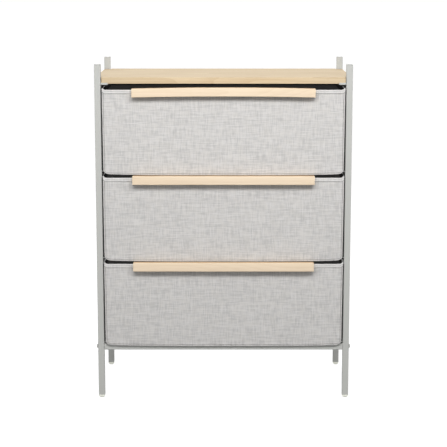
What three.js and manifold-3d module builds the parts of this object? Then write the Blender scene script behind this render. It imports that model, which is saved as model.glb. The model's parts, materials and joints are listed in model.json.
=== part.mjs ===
// A fabric drawer dresser: a light grey steel tube frame, a wood-grain top board let in
// between the posts, and three fabric drawers with wooden bar handles that slide on steel
// angle runners. Millimetres, +Z up, the front faces -Y, and the origin is on the floor
// under the centre of the whole dresser, handles included.
import * as THREE from 'three';
import { mergeVertices } from 'three/addons/utils/BufferGeometryUtils.js';
import Module from 'manifold-3d';

// Frame of square tube
const frameWidth = 600; // over the outer faces of the posts
const frameDepth = 300;
const frameHeight = 800; // floor to post tops
const tubeSize = 15;
const tubeWall = 1.2;
const tubeCornerRadius = 1.8;
const legHeight = 119; // floor to the underside of the bottom rails
const postRise = 30; // how far the posts stand above the top board
const endPlate = 3; // tapped plate in each end of a cross rail

// Plastic plugs in the ends of the posts
const plugLength = 10;
const plugCornerRadius = 0.6;
const capThickness = 1;
const glideHeight = 7;
const glideTaperHeight = 4.5;
const glideTaper = 3; // how far the glide's sides draw in at the floor

// Gaps between pieces that touch, and room round a shank in its hole
const fitGap = 0.3;
const holeClearance = 0.3;
const cutOverrun = 1;

// Button-head bolts of the cross rails
const boltDiameter = 6;
const boltHeadDiameter = 10.5;
const boltHeadHeight = 3.3;
const boltReach = 12; // past the post, into the rail
const boltSocket = 4.6; // across the corners
const boltSocketDepth = 2;

// Top board, and the two seats with upturned lips that carry its front corners
const boardThickness = 15;
const boardSideInset = 1; // behind the posts' outer faces
const boardNotchGap = 1.7; // round a post
const boardEdgeBevel = 0.7;
const seatThickness = 2;
const seatReach = 16; // from the post towards the middle
const seatLength = 25;
const seatLipHeight = 2.4; // above the underside of the board
const seatLipThickness = 1.5;

// Screws up into the board, in front through the seats and behind through the top rail
const boardScrewDiameter = 3.5;
const boardScrewHead = 7;
const boardScrewHeadHeight = 2;
const boardScrewBite = 9;
const rearBoardScrewInset = 80; // from the posts

// Steel angle runners, welded to the posts
const runnerThickness = 1.5;
const runnerLedge = 16; // from the post towards the middle
const runnerHeight = 17;
const runnerLift = 3.6; // lowest runner above the bottom rails

// Drawer boxes
const drawerCount = 3;
const drawerHeadroom = 13.5; // top board down to the highest rim
const drawerGap = 16; // a rim up to the floor of the box above
const runningGap = 0.4; // box above its runner
const sideClearance = 0.6; // box to the post beside it
const backClearance = 4; // box to the rear posts
const boxWall = 3;
const boxFloor = 2;
const boxCornerRadius = 3; // no more than the wall
const baseBoardThickness = 3;
const baseBoardGap = 1;

// Fabric fronts, which stand in front of the frame
const frontThickness = 7;
const frontStandOff = 0.5;
const frontSideGap = 2.5; // to the post, at the rim
const frontTaper = 1.5; // how much each side draws in towards the bottom
const frontDrop = 7; // below the floor of the box
const frontSag = 2; // of the bottom edge, at its middle
const frontCornerWidth = 18;
const frontCornerHeight = 12;
const frontEdgeRound = 1.2;
const earRise = 3.5; // the hem stands up at the ends of the rim
const earWidth = 8;
const earTip = 2 * frontEdgeRound; // flat top of an ear

// Wooden bar handles with a finger groove behind the lower edge
const handleWidth = 425;
const handleHeight = 20;
const handleDepth = 19;
const handleRise = 6.2; // above the rim
const handleEdgeBevel = 0.8;
const handleBlock = 25; // solid length at each end
const gripDepth = 10;
const gripHeight = 9;

// Screws from inside a drawer into its handle
const handleScrewDiameter = 4;
const handleScrewHead = 8;
const handleScrewHeadHeight = 2.2;
const handleScrewBite = 10;
const handleScrewDrop = 7; // below the rim

// Roundness of the facets
const cornerSegments = 2;
const curveSegments = 6;
const roundSegments = 12;
const glideSteps = 3;

// Places in the frame
const halfWidth = frameWidth / 2;
const halfDepth = frameDepth / 2;
const postX = halfWidth - tubeSize / 2;
const postY = halfDepth - tubeSize / 2;
const openingHalf = halfWidth - tubeSize;
const boreSize = tubeSize - 2 * tubeWall;
const boardTop = frameHeight - postRise;
const boardUnderside = boardTop - boardThickness;
const boardEndInset = seatLipThickness + fitGap;
const seatTop = boardUnderside - fitGap;
const topRailCentre = boardUnderside - fitGap - tubeSize / 2;
const bottomRailCentre = legHeight + tubeSize / 2;
const bottomRailTop = legHeight + tubeSize;
const seatScrewX = openingHalf - fitGap - seatReach / 2;
const seatScrewY = seatLength / 2 - halfDepth;
const rearScrewX = openingHalf - rearBoardScrewInset;

// Places of the drawers
const lowestRunner = bottomRailTop + runnerLift;
const lowestFloor = lowestRunner + runnerThickness + runningGap;
const drawerPitch = (boardUnderside - drawerHeadroom - lowestFloor + drawerGap) / drawerCount;
const boxHeight = drawerPitch - drawerGap;
const boxHalf = openingHalf - sideClearance;
const boxFront = -halfDepth - frontStandOff;
const boxBack = halfDepth - tubeSize - backClearance;
const frontBack = boxFront - fitGap;
const frontHeight = boxHeight + frontDrop;
const handleBack = frontBack - frontThickness - fitGap;
const handleFront = handleBack - handleDepth;
const handleScrewX = (handleWidth - handleBlock) / 2;

const wasm = await Module();
wasm.setup();

const steel = new THREE.MeshStandardMaterial({ color: 0xc3c5c0, roughness: 0.5, metalness: 0.1 });
const boltSteel = new THREE.MeshStandardMaterial({ color: 0x77776f, roughness: 0.4, metalness: 0.8 });
const boardWood = new THREE.MeshStandardMaterial({ color: 0xe2cfa9, roughness: 0.55, metalness: 0 });
const handleWood = new THREE.MeshStandardMaterial({ color: 0xf6e2c2, roughness: 0.6, metalness: 0 });
const linen = new THREE.MeshStandardMaterial({ color: 0xcfccc9, roughness: 0.95, metalness: 0 });
const felt = new THREE.MeshStandardMaterial({ color: 0x4d4d4d, roughness: 1, metalness: 0 });
const baseBoardCard = new THREE.MeshStandardMaterial({ color: 0x6b6864, roughness: 0.9, metalness: 0 });
const capPlastic = new THREE.MeshStandardMaterial({ color: 0xbfc1bd, roughness: 0.5, metalness: 0 });
const glidePlastic = new THREE.MeshStandardMaterial({ color: 0xeef0e6, roughness: 0.35, metalness: 0 });

// A closed geometry as a solid that can be joined and cut.
function solid(geometry) {
  const bare = geometry.clone();
  for (const name of Object.keys(bare.attributes)) {
    if (name !== 'position') bare.deleteAttribute(name);
  }
  const merged = mergeVertices(bare);
  const corners = merged.index.array;
  const triangles = [];
  for (let i = 0; i < corners.length; i += 3) {
    const [a, b, c] = corners.slice(i, i + 3);
    if (a !== b && b !== c && c !== a) triangles.push(a, b, c);
  }
  return new wasm.Manifold(new wasm.Mesh({
    numProp: 3,
    vertProperties: merged.attributes.position.array,
    triVerts: new Uint32Array(triangles),
  }));
}

function geometryOf(body) {
  const mesh = body.getMesh();
  const geometry = new THREE.BufferGeometry();
  geometry.setAttribute('position', new THREE.BufferAttribute(mesh.vertProperties, 3));
  geometry.setIndex(new THREE.BufferAttribute(mesh.triVerts, 1));
  const flat = geometry.toNonIndexed();
  flat.computeVertexNormals();
  return flat;
}

// A box between its lowest and its highest corner.
function block([x0, y0, z0], [x1, y1, z1]) {
  const box = new THREE.BoxGeometry(x1 - x0, y1 - y0, z1 - z0);
  return box.translate((x0 + x1) / 2, (y0 + y1) / 2, (z0 + z1) / 2);
}

// A box on one side of the dresser, between two distances from its middle.
function sideBlock(side, [near, far], [front, back], [low, high]) {
  const [x0, x1] = side < 0 ? [-far, -near] : [near, far];
  return block([x0, front, low], [x1, back, high]);
}

// A square with round corners, about the origin.
function roundedSquare(size, radius, Kind = THREE.Shape) {
  const outline = new Kind();
  const centre = size / 2 - radius;
  outline.absarc(centre, -centre, radius, -Math.PI / 2, 0);
  outline.absarc(centre, centre, radius, 0, Math.PI / 2);
  outline.absarc(-centre, centre, radius, Math.PI / 2, Math.PI);
  outline.absarc(-centre, -centre, radius, Math.PI, Math.PI * 1.5);
  return outline;
}

function extrude(shape, depth, segments = cornerSegments) {
  return new THREE.ExtrudeGeometry(shape, { depth, bevelEnabled: false, curveSegments: segments });
}

// The same, with its edges eased by a bevel that stays inside the outline.
function easedExtrude(shape, depth, bevel) {
  const body = new THREE.ExtrudeGeometry(shape, {
    depth: depth - 2 * bevel,
    bevelEnabled: true,
    bevelThickness: bevel,
    bevelSize: bevel,
    bevelOffset: -bevel,
    bevelSegments: 1,
    curveSegments,
  });
  return body.translate(0, 0, bevel);
}

// Turns what was drawn in X and Y and extruded up, so that it is drawn in X and Z and
// extruded forwards from the plane y = back.
function forwards(geometry, back) {
  return geometry.rotateX(Math.PI / 2).translate(0, back, 0);
}

// A cylinder along an axis, from one place on it to another.
function rod(axis, diameter, from, to) {
  const body = new THREE.CylinderGeometry(diameter / 2, diameter / 2, to - from, roundSegments);
  body.translate(0, (from + to) / 2, 0);
  if (axis === 'x') body.rotateZ(-Math.PI / 2);
  if (axis === 'z') body.rotateX(Math.PI / 2);
  return body;
}

function holeFor(diameter) {
  return diameter + 2 * holeClearance;
}

// A square tube of a given length along Z, from z = 0.
function tube(length) {
  const section = roundedSquare(tubeSize, tubeCornerRadius);
  section.holes.push(roundedSquare(boreSize, plugCornerRadius, THREE.Path));
  return extrude(section, length);
}

// A post, with holes across it for the bolts of the cross rails.
function post(boltHeights) {
  const foot = glideHeight + fitGap;
  const length = frameHeight - capThickness - fitGap - foot;
  let body = solid(tube(length).translate(0, 0, foot));
  const reach = tubeSize / 2 + cutOverrun;
  for (const z of boltHeights) {
    const hole = rod('x', holeFor(boltDiameter), -reach, reach);
    body = body.subtract(solid(hole.translate(0, 0, z)));
  }
  return geometryOf(body);
}

// A plug that fills the bore of a post between two heights.
function plug(from, to) {
  const section = roundedSquare(boreSize - 2 * fitGap, plugCornerRadius);
  return solid(extrude(section, to - from).translate(0, 0, from));
}

// The cap's underside is at z = 0.
function postCap() {
  const lid = extrude(roundedSquare(tubeSize, tubeCornerRadius), capThickness);
  return geometryOf(solid(lid).add(plug(-plugLength, capThickness / 2)));
}

// A square pad whose sides draw in to the floor on a quarter of an ellipse.
function glidePad() {
  const outline = roundedSquare(tubeSize, tubeCornerRadius).getPoints(cornerSegments);
  const count = outline.length;
  const levels = [];
  for (let i = 0; i <= glideSteps; i++) {
    const angle = (i / glideSteps) * (Math.PI / 2);
    const inset = glideTaper * (1 - Math.sin(angle));
    levels.push({ z: glideTaperHeight * (1 - Math.cos(angle)), scale: 1 - (2 * inset) / tubeSize });
  }
  levels.push({ z: glideHeight, scale: 1 });
  const positions = levels.flatMap(
    ({ z, scale }) => outline.flatMap((point) => [point.x * scale, point.y * scale, z]),
  );
  const index = [];
  for (let start = 0; start < positions.length / 3 - count; start += count) {
    for (let i = 0; i < count; i++) {
      const a = start + i;
      const b = start + ((i + 1) % count);
      index.push(a, b, b + count, a, b + count, a + count);
    }
  }
  const last = positions.length / 3 - count;
  for (const [a, b, c] of THREE.ShapeUtils.triangulateShape(outline, [])) {
    index.push(a, c, b, last + a, last + b, last + c);
  }
  const pad = new THREE.BufferGeometry();
  pad.setAttribute('position', new THREE.Float32BufferAttribute(positions, 3));
  pad.setIndex(index);
  return pad;
}

function footGlide() {
  return geometryOf(solid(glidePad()).add(plug(glideHeight / 2, glideHeight + plugLength)));
}

// A rail from side to side: a tube with a tapped plate in each end, and holes up through it
// for any screws that hold the board.
function crossRail(screwPlaces = []) {
  const half = openingHalf - fitGap;
  const outside = extrude(roundedSquare(tubeSize, tubeCornerRadius), 2 * half);
  const inside = extrude(roundedSquare(boreSize, plugCornerRadius), 2 * (half - endPlate));
  outside.translate(0, 0, -half).rotateY(Math.PI / 2);
  inside.translate(0, 0, endPlate - half).rotateY(Math.PI / 2);
  const end = half + cutOverrun;
  let rail = solid(outside).subtract(solid(inside));
  rail = rail.subtract(solid(rod('x', holeFor(boltDiameter), -end, end)));
  const reach = tubeSize / 2 + cutOverrun;
  for (const x of screwPlaces) {
    const hole = rod('z', holeFor(boardScrewDiameter), -reach, reach);
    rail = rail.subtract(solid(hole.translate(x, 0, 0)));
  }
  return geometryOf(rail);
}

// A rail from front to back, welded between two posts.
function sideRail() {
  const length = frameDepth - 2 * (tubeSize + fitGap);
  return tube(length).translate(0, 0, -length / 2).rotateX(Math.PI / 2);
}

// A screw along +Z. Its head lies below z = 0, with a socket of six sides.
function screw(diameter, length, headDiameter, headHeight, socket, socketDepth) {
  const head = headDiameter / 2;
  const shank = diameter / 2;
  const profile = [
    [0, -headHeight],
    [head / 2, -headHeight],
    [head * Math.cos(Math.PI / 6), -headHeight * Math.sin(Math.PI / 4)],
    [head, -headHeight / 3],
    [head, 0],
    [shank, 0],
    [shank, length - shank / 2],
    [shank / 2, length],
    [0, length],
  ];
  const points = profile.map(([x, y]) => new THREE.Vector2(x, y));
  const body = new THREE.LatheGeometry(points, roundSegments).rotateX(Math.PI / 2);
  const recess = new THREE.CylinderGeometry(socket / 2, socket / 2, socketDepth + cutOverrun, 6);
  recess.rotateX(Math.PI / 2).translate(0, 0, (socketDepth - cutOverrun) / 2 - headHeight);
  return geometryOf(solid(body).subtract(solid(recess)));
}

// A bolt along +X, with the underside of its head at x = 0.
function railBolt() {
  const length = tubeSize + boltReach;
  const body = screw(boltDiameter, length, boltHeadDiameter, boltHeadHeight, boltSocket, boltSocketDepth);
  return body.rotateY(Math.PI / 2);
}

// A wood screw whose head is a third as wide across its socket and half as deep.
function woodScrew(diameter, length, headDiameter, headHeight) {
  return screw(diameter, length, headDiameter, headHeight, headDiameter / 3, headHeight / 2);
}

function boardScrew(through) {
  const length = through + fitGap + boardScrewBite;
  return woodScrew(boardScrewDiameter, length, boardScrewHead, boardScrewHeadHeight);
}

// A plate beside a front post, with a lip that stands in front of the board's edge.
function boardSeat(side) {
  const width = [openingHalf - fitGap - seatReach, openingHalf - fitGap];
  const underside = seatTop - seatThickness;
  const plate = sideBlock(side, width, [-halfDepth, seatLength - halfDepth], [underside, seatTop]);
  const lipEnd = seatLipThickness - halfDepth;
  const lipTop = boardUnderside + seatLipHeight;
  const lip = sideBlock(side, width, [-halfDepth, lipEnd], [underside, lipTop]);
  const hole = rod('z', holeFor(boardScrewDiameter), underside - cutOverrun, seatTop + cutOverrun);
  hole.translate(side * seatScrewX, seatScrewY, 0);
  return geometryOf(solid(plate).add(solid(lip)).subtract(solid(hole)));
}

// The top board, with a notch round each post and a pilot hole over each screw.
function topBoard() {
  const x = halfWidth - boardSideInset;
  const y = halfDepth - boardEndInset;
  const notchX = openingHalf - boardNotchGap;
  const notchY = halfDepth - tubeSize - boardNotchGap;
  const corners = [
    [-notchX, -y], [notchX, -y], [notchX, -notchY], [x, -notchY],
    [x, notchY], [notchX, notchY], [notchX, y], [-notchX, y],
    [-notchX, notchY], [-x, notchY], [-x, -notchY], [-notchX, -notchY],
  ];
  const outline = new THREE.Shape(corners.map(([px, py]) => new THREE.Vector2(px, py)));
  let board = solid(easedExtrude(outline, boardThickness, boardEdgeBevel));
  const depth = boardScrewBite + fitGap;
  for (const side of [-1, 1]) {
    for (const [px, py] of [[seatScrewX, seatScrewY], [rearScrewX, postY]]) {
      const hole = rod('z', holeFor(boardScrewDiameter), -cutOverrun, depth);
      board = board.subtract(solid(hole.translate(side * px, py, 0)));
    }
  }
  return geometryOf(board);
}

// An angle runner on one side. Its ledge lies under the drawer and runs on past both posts,
// and its web hangs between them, clear of the drawer.
function runner(side) {
  const beside = openingHalf - fitGap;
  const tip = beside - runnerLedge;
  const outer = openingHalf + runnerThickness;
  const reach = halfDepth - tubeSize - fitGap;
  const between = [-reach, reach];
  const level = [0, runnerThickness];
  const drop = [runnerThickness - runnerHeight, runnerThickness];
  const ends = solid(sideBlock(side, [tip, beside], [-halfDepth, halfDepth], level));
  const ledge = solid(sideBlock(side, [tip, outer], between, level));
  const web = solid(sideBlock(side, [openingHalf, outer], between, drop));
  return geometryOf(ends.add(ledge).add(web));
}

// The box seen from above: square at the open front, round at the back corners.
function boxOutline(inset, front) {
  const x = boxHalf - inset;
  const radius = Math.max(boxCornerRadius - inset, boxWall / 2);
  const centre = boxBack - inset - radius;
  const outline = new THREE.Shape();
  outline.moveTo(-x, front);
  outline.lineTo(x, front);
  outline.absarc(x - radius, centre, radius, 0, Math.PI / 2);
  outline.absarc(radius - x, centre, radius, Math.PI / 2, Math.PI);
  return outline;
}

// The sewn walls: two sides and a back in one run, folded sharply on the inside. Their rim
// is at z = 0.
function drawerWalls() {
  const outside = extrude(boxOutline(0, boxFront), boxHeight).translate(0, 0, -boxHeight);
  const x = boxHalf - boxWall;
  const inside = block(
    [-x, boxFront - cutOverrun, -boxHeight - cutOverrun],
    [x, boxBack - boxWall, cutOverrun],
  );
  return geometryOf(solid(outside).subtract(solid(inside)));
}

// The floor panel, sewn in between the lower edges of the walls.
function drawerFloor() {
  const outline = boxOutline(boxWall + fitGap, boxFront);
  return extrude(outline, boxFloor).translate(0, 0, -boxHeight);
}

// A loose board on the floor of the box.
function baseBoard() {
  const outline = boxOutline(boxWall + baseBoardGap, boxFront + baseBoardGap);
  return extrude(outline, baseBoardThickness).translate(0, 0, boxFloor + fitGap - boxHeight);
}

// The front's outline, with its rim at height 0: ears at the rim's ends, sides that draw in,
// round bottom corners, and a bottom edge that sags.
function frontOutline() {
  const top = openingHalf - frontSideGap;
  const bottom = top - frontTaper;
  const corner = bottom - frontCornerWidth;
  const outline = new THREE.Shape();
  outline.moveTo(-top, earRise);
  outline.lineTo(-bottom, frontCornerHeight - frontHeight);
  outline.quadraticCurveTo(-bottom, -frontHeight, -corner, -frontHeight);
  outline.quadraticCurveTo(0, -frontHeight - 2 * frontSag, corner, -frontHeight);
  outline.quadraticCurveTo(bottom, -frontHeight, bottom, frontCornerHeight - frontHeight);
  outline.lineTo(top, earRise);
  outline.lineTo(top - earTip, earRise);
  outline.quadraticCurveTo(top - (earTip + earWidth) / 2, 0, top - earWidth, 0);
  outline.lineTo(earWidth - top, 0);
  outline.quadraticCurveTo((earTip + earWidth) / 2 - top, 0, earTip - top, earRise);
  return outline;
}

// Cuts a hole for each handle screw, as far into the handle as the screw bites.
function cutHandleScrewHoles(body) {
  let cut = body;
  for (const side of [-1, 1]) {
    const tip = handleBack - handleScrewBite - fitGap;
    const hole = rod('y', holeFor(handleScrewDiameter), tip, frontBack + cutOverrun);
    cut = cut.subtract(solid(hole.translate(side * handleScrewX, 0, -handleScrewDrop)));
  }
  return cut;
}

function drawerFront() {
  const front = easedExtrude(frontOutline(), frontThickness, frontEdgeRound);
  return geometryOf(cutHandleScrewHoles(solid(forwards(front, frontBack))));
}

// A rectangle with its middle at x = 0, between two heights.
function barOutline(width, bottom, top) {
  const x = width / 2;
  const corners = [[-x, bottom], [x, bottom], [x, top], [-x, top]];
  return new THREE.Shape(corners.map(([px, pz]) => new THREE.Vector2(px, pz)));
}

function handle() {
  const bottom = handleRise - handleHeight;
  const bar = easedExtrude(barOutline(handleWidth, bottom, handleRise), handleDepth, handleEdgeBevel);
  const grooveWidth = handleWidth - 2 * handleBlock;
  const section = barOutline(grooveWidth, bottom - cutOverrun, bottom + gripHeight);
  const groove = forwards(extrude(section, gripDepth + cutOverrun), handleBack + cutOverrun);
  return geometryOf(cutHandleScrewHoles(solid(forwards(bar, handleBack)).subtract(solid(groove))));
}

// Its head lies inside the drawer, and its point is towards the front.
function handleScrew() {
  const length = 2 * fitGap + frontThickness + handleScrewBite;
  const body = woodScrew(handleScrewDiameter, length, handleScrewHead, handleScrewHeadHeight);
  return body.rotateX(Math.PI / 2);
}

const dresser = new THREE.Group();
dresser.position.y = -(handleFront + halfDepth) / 2;

function add(parent, name, geometry, material, position = [0, 0, 0], turn = 0) {
  const mesh = new THREE.Mesh(geometry, material);
  mesh.name = name;
  mesh.position.set(...position);
  mesh.rotation.z = turn;
  parent.add(mesh);
}

const sides = [
  { side: 'left', x: -1 },
  { side: 'right', x: 1 },
];
const corners = [
  { end: 'front', y: -postY, bolts: { bottom: bottomRailCentre } },
  { end: 'rear', y: postY, bolts: { bottom: bottomRailCentre, top: topRailCentre } },
];

function addPosts() {
  for (const { side, x } of sides) {
    for (const { end, y, bolts } of corners) {
      const name = `${end}_${side}`;
      add(dresser, `${name}_post`, post(Object.values(bolts)), steel, [x * postX, y, 0]);
      const cap = [x * postX, y, frameHeight - capThickness];
      add(dresser, `${name}_post_cap`, postCap(), capPlastic, cap);
      add(dresser, `${name}_foot_glide`, footGlide(), glidePlastic, [x * postX, y, 0]);
      const turn = x < 0 ? 0 : Math.PI;
      for (const [rail, z] of Object.entries(bolts)) {
        add(dresser, `${name}_${rail}_rail_bolt`, railBolt(), boltSteel, [x * halfWidth, y, z], turn);
      }
    }
  }
}

function addRails() {
  for (const { side, x } of sides) {
    add(dresser, `${side}_top_rail`, sideRail(), steel, [x * postX, 0, topRailCentre]);
  }
  add(dresser, 'front_bottom_rail', crossRail(), steel, [0, -postY, bottomRailCentre]);
  add(dresser, 'rear_bottom_rail', crossRail(), steel, [0, postY, bottomRailCentre]);
  const screws = [-rearScrewX, rearScrewX];
  add(dresser, 'rear_top_rail', crossRail(screws), steel, [0, postY, topRailCentre]);
}

function addTop() {
  add(dresser, 'top_board', topBoard(), boardWood, [0, 0, boardUnderside]);
  for (const { side, x } of sides) {
    add(dresser, `${side}_board_seat`, boardSeat(x), steel);
    const seatHead = [x * seatScrewX, seatScrewY, seatTop - seatThickness];
    add(dresser, `front_${side}_board_screw`, boardScrew(seatThickness), boltSteel, seatHead);
    const railHead = [x * rearScrewX, postY, topRailCentre - tubeSize / 2];
    add(dresser, `rear_${side}_board_screw`, boardScrew(tubeSize), boltSteel, railHead);
  }
}

function addDrawer(name, level) {
  const rise = level * drawerPitch;
  for (const { side, x } of sides) {
    add(dresser, `${name}_${side}_runner`, runner(x), steel, [0, 0, lowestRunner + rise]);
  }
  const drawer = new THREE.Group();
  drawer.position.z = lowestFloor + rise + boxHeight;
  dresser.add(drawer);
  add(drawer, `${name}_drawer_walls`, drawerWalls(), felt);
  add(drawer, `${name}_drawer_floor`, drawerFloor(), felt);
  add(drawer, `${name}_drawer_front`, drawerFront(), linen);
  add(drawer, `${name}_base_board`, baseBoard(), baseBoardCard);
  add(drawer, `${name}_handle`, handle(), handleWood);
  for (const { side, x } of sides) {
    const head = [x * handleScrewX, boxFront, -handleScrewDrop];
    add(drawer, `${name}_${side}_handle_screw`, handleScrew(), boltSteel, head);
  }
}

addPosts();
addRails();
addTop();
['bottom', 'middle', 'top'].slice(0, drawerCount).forEach(addDrawer);

export default dresser;
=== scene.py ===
# %% [markdown]
# # A fabric drawer dresser
# Three cloth drawers stand in a light steel frame under a wood-grain top. The steel, the board and
# the small screws are already right as solids, so they stay and only get a finish. Cloth, rounded
# wood and moulded plastic are softer than flat-sided solids can show, so this lesson builds them
# again as fine meshes in the same places.

# %% Load the frame
import json
import math
import bmesh
import bpy
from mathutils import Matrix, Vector, noise


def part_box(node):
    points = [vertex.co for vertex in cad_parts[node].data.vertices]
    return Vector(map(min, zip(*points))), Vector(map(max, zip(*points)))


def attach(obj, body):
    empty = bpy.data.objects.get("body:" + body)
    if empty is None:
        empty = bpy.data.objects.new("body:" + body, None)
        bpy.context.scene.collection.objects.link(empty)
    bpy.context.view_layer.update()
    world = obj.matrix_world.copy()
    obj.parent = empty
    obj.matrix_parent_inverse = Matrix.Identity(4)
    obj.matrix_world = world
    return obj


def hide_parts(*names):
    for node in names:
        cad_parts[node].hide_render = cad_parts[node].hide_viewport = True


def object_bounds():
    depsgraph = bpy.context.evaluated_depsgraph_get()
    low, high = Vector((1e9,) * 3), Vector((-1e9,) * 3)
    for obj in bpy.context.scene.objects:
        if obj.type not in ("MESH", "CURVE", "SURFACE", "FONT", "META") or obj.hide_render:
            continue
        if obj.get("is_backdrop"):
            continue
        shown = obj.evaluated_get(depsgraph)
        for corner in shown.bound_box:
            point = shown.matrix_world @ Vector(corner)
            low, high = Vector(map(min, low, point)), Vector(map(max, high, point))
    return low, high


mm = 0.001
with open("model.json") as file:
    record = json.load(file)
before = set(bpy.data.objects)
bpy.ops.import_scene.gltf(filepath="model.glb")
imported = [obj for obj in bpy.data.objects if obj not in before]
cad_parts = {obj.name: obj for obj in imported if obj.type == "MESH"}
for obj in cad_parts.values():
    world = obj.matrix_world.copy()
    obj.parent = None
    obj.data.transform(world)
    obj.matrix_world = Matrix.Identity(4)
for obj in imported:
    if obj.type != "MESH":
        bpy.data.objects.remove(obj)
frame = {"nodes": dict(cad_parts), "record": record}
solid_low, solid_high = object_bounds()
print("solids:", len(frame["nodes"]), "from", tuple(solid_low), "to", tuple(solid_high))

# %% [markdown]
# ## The camera
# A camera is a focal length and a place. The dresser is seen square from the front and from a
# little above, and its uprights lean in very little, so the lens is long and the camera stands
# well back. The focal length is worked out from how many pixels the picture is wide.

# %% Set up the camera
picture_width = 447
focal_pixels = 1400
camera_place = (0, -3.384, 1.014)
camera_tilt = math.radians(9.53)
camera_shift = -0.04

lens = bpy.data.cameras.new("camera")
lens.lens = focal_pixels / picture_width * lens.sensor_width
lens.shift_y = camera_shift
camera = bpy.data.objects.new("camera", lens)
camera.location = camera_place
camera.rotation_euler = (math.pi / 2 - camera_tilt, 0, 0)
bpy.context.scene.collection.objects.link(camera)
bpy.context.scene.camera = camera
print("focal length", round(lens.lens, 1), "mm")

# %% [markdown]
# ## A short way to write shaders
# A finish is a tree of nodes. Made one by one, with a line for every link, even simple sums are
# hard to read. Here a Wire stands for one output, and sums on wires add the Math nodes that work
# them out, so the recipe of a weave reads like the sum it is. Every other node comes from one
# method of the Recipe: first its settings, then what goes into its sockets.

# %% Sums on wires
class Wire:
    """One output in a recipe. Arithmetic on it adds Math nodes."""

    def __init__(self, recipe, socket):
        self.recipe = recipe
        self.socket = socket

    def maths(self, operation, *values):
        return self.recipe.node("ShaderNodeMath", {"operation": operation}, dict(enumerate(values)))

    def __add__(self, other):
        return self.maths("ADD", self, other)

    def __sub__(self, other):
        return self.maths("SUBTRACT", self, other)

    def __rsub__(self, other):
        return self.maths("SUBTRACT", other, self)

    def __mul__(self, other):
        return self.maths("MULTIPLY", self, other)

    def __truediv__(self, other):
        return self.maths("DIVIDE", self, other)

    def __rtruediv__(self, other):
        return self.maths("DIVIDE", other, self)

    def __mod__(self, other):
        return self.maths("FLOORED_MODULO", self, other)

    def __gt__(self, other):
        return self.maths("GREATER_THAN", self, other)

    def __lt__(self, other):
        return self.maths("LESS_THAN", self, other)

    def __abs__(self):
        return self.maths("ABSOLUTE", self)

    __radd__ = __add__
    __rmul__ = __mul__


# %% Recipes of nodes
def socket_named(sockets, key):
    """The shown socket with that name, or with that number."""
    shown = [socket for socket in sockets if socket.enabled]
    if isinstance(key, int):
        return shown[key]
    return next(socket for socket in shown if socket.name == key)


def fill_socket(recipe, socket, value):
    """Links a wire to a socket, or sets the socket's own value."""
    if isinstance(value, Wire):
        recipe.tree.links.new(value.socket, socket)
    elif socket.type == "RGBA":
        socket.default_value = (*value, 1)
    else:
        socket.default_value = value


class Recipe:
    """The node tree of a material or of the sky."""

    def __init__(self, owner):
        owner.use_nodes = True
        self.tree = owner.node_tree
        self.tree.nodes.clear()

    def node(self, kind, settings=None, sockets=None, output=0):
        """Adds a node. Gives the wire of its output, or a list of wires for a list of outputs."""
        made = self.tree.nodes.new(kind)
        for name, value in (settings or {}).items():
            if name == "stops":
                self.set_stops(made.color_ramp.elements, value)
            else:
                setattr(made, name, value)
        for key, value in (sockets or {}).items():
            fill_socket(self, socket_named(made.inputs, key), value)
        if not made.outputs:
            return None
        if isinstance(output, list):
            return [Wire(self, socket_named(made.outputs, key)) for key in output]
        return Wire(self, socket_named(made.outputs, output))

    def set_stops(self, stops, greys):
        """Gives a ramp its stops, from pairs of a place and a grey."""
        while len(stops) < len(greys):
            stops.new(1)
        for stop, (place, grey) in zip(stops, greys):
            stop.position = place
            stop.color = (grey, grey, grey, 1)

    def mix(self, factor, first, second):
        """A colour between two colours."""
        sockets = {"Factor": factor, "A": first, "B": second}
        return self.node("ShaderNodeMix", {"data_type": "RGBA"}, sockets)

    def clouds(self, place, scale, detail=2, roughness=0.5):
        """Noise with so many clouds to the metre, or with a number for each axis."""
        scales = scale if isinstance(scale, tuple) else (scale,) * 3
        scaled = {axis: part * factor for axis, part, factor in zip("XYZ", place, scales)}
        point = self.node("ShaderNodeCombineXYZ", None, scaled)
        sockets = {"Vector": point, "Scale": 1, "Detail": detail, "Roughness": roughness}
        return self.node("ShaderNodeTexNoise", None, sockets, "Fac")

    def place(self, kind="Object"):
        """Three wires: the point on the object in metres, or a coordinate of another kind."""
        vector = self.node("ShaderNodeTexCoord", output=kind)
        return self.node("ShaderNodeSeparateXYZ", None, {"Vector": vector}, ["X", "Y", "Z"])

    def surface(self, sockets, relief=None, depth=0, strength=1):
        """The shader and its output, with a relief of that depth where one is given."""
        filled = dict(sockets)
        if relief is not None:
            bump = {"Strength": strength, "Distance": depth, "Height": relief}
            filled["Normal"] = self.node("ShaderNodeBump", None, bump)
        shader = self.node("ShaderNodeBsdfPrincipled", None, filled)
        self.node("ShaderNodeOutputMaterial", None, {"Surface": shader})


def new_finish(name):
    """A material and its empty recipe."""
    material = bpy.data.materials.new(name)
    return material, Recipe(material)


# %% [markdown]
# ## Stage and light
# The dresser stands on a plain pale floor. One soft box, in front and above, does most of the
# work: the drawers get paler towards the top, and the handles throw short soft shadows. Weaker
# boxes behind and beside it keep the back and the sides readable, and a pale sky, brightest at
# the horizon, fills the rest. The floor glows a little, as a lit sweep does, so it stays pale far
# from the lamps.

# %% The floor
square_corners = [(-1, -1), (1, -1), (1, 1), (-1, 1)]
floor_half = 400
floor_glow = 0.96
floor_deep, floor_pale = (0.17, 0.17, 0.17), (0.19, 0.19, 0.19)
floor_cloud_scales = (3, 3, 1)

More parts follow.
